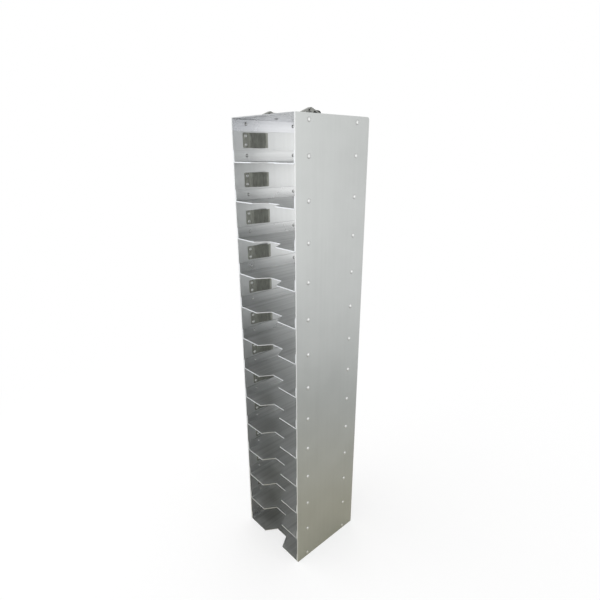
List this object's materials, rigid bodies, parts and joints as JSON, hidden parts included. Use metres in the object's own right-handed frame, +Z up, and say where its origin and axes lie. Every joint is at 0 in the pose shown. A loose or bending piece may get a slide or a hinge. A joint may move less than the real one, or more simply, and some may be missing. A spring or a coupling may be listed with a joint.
{
  "type": "freezer storage rack",
  "caption": "Tall open-fronted sheet-metal freezer rack with stacked notched trays, a spring clip in each compartment and a folding bail handle on top.",
  "frame": {"origin": "centre of the footprint on the surface that the rack stands on", "axes": "+Z up, the open front faces -Y, +X to the right seen from the front"},
  "size_m": [0.1426, 0.1414, 0.7493],
  "materials": {
    "panel_aluminium": "satin mill finish",
    "tray_aluminium": "satin mill finish with fine rolling lines",
    "rivet_aluminium": "smooth",
    "spring_steel": "dark satin",
    "handle_steel": "polished",
    "grip_vinyl": "smooth satin"
  },
  "bodies": {
    "rack": {"side_panel_left": "panel_aluminium", "side_panel_right": "panel_aluminium", "top_plate": "tray_aluminium", "base_tray": "tray_aluminium", "shelf_01": "tray_aluminium", "shelf_02": "tray_aluminium", "shelf_03": "tray_aluminium", "shelf_04": "tray_aluminium", "shelf_05": "tray_aluminium", "shelf_06": "tray_aluminium", "shelf_07": "tray_aluminium", "shelf_08": "tray_aluminium", "shelf_09": "tray_aluminium", "shelf_10": "tray_aluminium", "shelf_11": "tray_aluminium", "shelf_12": "tray_aluminium", "clip_foot_01": "spring_steel", "clip_foot_02": "spring_steel", "clip_foot_03": "spring_steel", "clip_foot_04": "spring_steel", "clip_foot_05": "spring_steel", "clip_foot_06": "spring_steel", "clip_foot_07": "spring_steel", "clip_foot_08": "spring_steel", "clip_foot_09": "spring_steel", "clip_foot_10": "spring_steel", "clip_foot_11": "spring_steel", "clip_foot_12": "spring_steel", "clip_foot_13": "spring_steel", "shelf_rivets_left": "rivet_aluminium", "shelf_rivets_right": "rivet_aluminium", "clip_rivets": "rivet_aluminium", "handle_bracket_left": "handle_steel", "handle_bracket_right": "handle_steel", "bracket_rivets": "rivet_aluminium"},
    "spring_clip_01": {"clip_tongue_01": "spring_steel"},
    "spring_clip_02": {"clip_tongue_02": "spring_steel"},
    "spring_clip_03": {"clip_tongue_03": "spring_steel"},
    "spring_clip_04": {"clip_tongue_04": "spring_steel"},
    "spring_clip_05": {"clip_tongue_05": "spring_steel"},
    "spring_clip_06": {"clip_tongue_06": "spring_steel"},
    "spring_clip_07": {"clip_tongue_07": "spring_steel"},
    "spring_clip_08": {"clip_tongue_08": "spring_steel"},
    "spring_clip_09": {"clip_tongue_09": "spring_steel"},
    "spring_clip_10": {"clip_tongue_10": "spring_steel"},
    "spring_clip_11": {"clip_tongue_11": "spring_steel"},
    "spring_clip_12": {"clip_tongue_12": "spring_steel"},
    "spring_clip_13": {"clip_tongue_13": "spring_steel"},
    "handle": {"handle_bail": "handle_steel", "handle_grip": "grip_vinyl"}
  },
  "joints": [
    {"name": "clip_press_01", "type": "hinge", "parent": "rack", "child": "spring_clip_01", "pos_m": [-0.0676, -0.03835, 0.70985], "axis": [0, 0, 1], "range_deg": [0, 7], "stiffness_Nm_per_rad": 0.4},
    {"name": "clip_press_02", "type": "hinge", "parent": "rack", "child": "spring_clip_02", "pos_m": [-0.0676, -0.03835, 0.65298], "axis": [0, 0, 1], "range_deg": [0, 7], "stiffness_Nm_per_rad": 0.4},
    {"name": "clip_press_03", "type": "hinge", "parent": "rack", "child": "spring_clip_03", "pos_m": [-0.0676, -0.03835, 0.59611], "axis": [0, 0, 1], "range_deg": [0, 7], "stiffness_Nm_per_rad": 0.4},
    {"name": "clip_press_04", "type": "hinge", "parent": "rack", "child": "spring_clip_04", "pos_m": [-0.0676, -0.03835, 0.53924], "axis": [0, 0, 1], "range_deg": [0, 7], "stiffness_Nm_per_rad": 0.4},
    {"name": "clip_press_05", "type": "hinge", "parent": "rack", "child": "spring_clip_05", "pos_m": [-0.0676, -0.03835, 0.48237], "axis": [0, 0, 1], "range_deg": [0, 7], "stiffness_Nm_per_rad": 0.4},
    {"name": "clip_press_06", "type": "hinge", "parent": "rack", "child": "spring_clip_06", "pos_m": [-0.0676, -0.03835, 0.4255], "axis": [0, 0, 1], "range_deg": [0, 7], "stiffness_Nm_per_rad": 0.4},
    {"name": "clip_press_07", "type": "hinge", "parent": "rack", "child": "spring_clip_07", "pos_m": [-0.0676, -0.03835, 0.36863], "axis": [0, 0, 1], "range_deg": [0, 7], "stiffness_Nm_per_rad": 0.4},
    {"name": "clip_press_08", "type": "hinge", "parent": "rack", "child": "spring_clip_08", "pos_m": [-0.0676, -0.03835, 0.31176], "axis": [0, 0, 1], "range_deg": [0, 7], "stiffness_Nm_per_rad": 0.4},
    {"name": "clip_press_09", "type": "hinge", "parent": "rack", "child": "spring_clip_09", "pos_m": [-0.0676, -0.03835, 0.25489], "axis": [0, 0, 1], "range_deg": [0, 7], "stiffness_Nm_per_rad": 0.4},
    {"name": "clip_press_10", "type": "hinge", "parent": "rack", "child": "spring_clip_10", "pos_m": [-0.0676, -0.03835, 0.19802], "axis": [0, 0, 1], "range_deg": [0, 7], "stiffness_Nm_per_rad": 0.4},
    {"name": "clip_press_11", "type": "hinge", "parent": "rack", "child": "spring_clip_11", "pos_m": [-0.0676, -0.03835, 0.14115], "axis": [0, 0, 1], "range_deg": [0, 7], "stiffness_Nm_per_rad": 0.4},
    {"name": "clip_press_12", "type": "hinge", "parent": "rack", "child": "spring_clip_12", "pos_m": [-0.0676, -0.03835, 0.08428], "axis": [0, 0, 1], "range_deg": [0, 7], "stiffness_Nm_per_rad": 0.4},
    {"name": "clip_press_13", "type": "hinge", "parent": "rack", "child": "spring_clip_13", "pos_m": [-0.0676, -0.03835, 0.0315], "axis": [0, 0, 1], "range_deg": [0, 7], "stiffness_Nm_per_rad": 0.4},
    {"name": "handle_lift", "type": "hinge", "parent": "rack", "child": "handle", "pos_m": [0, -0.02075, 0.74475], "axis": [1, 0, 0], "range_deg": [0, 185]}
  ]
}
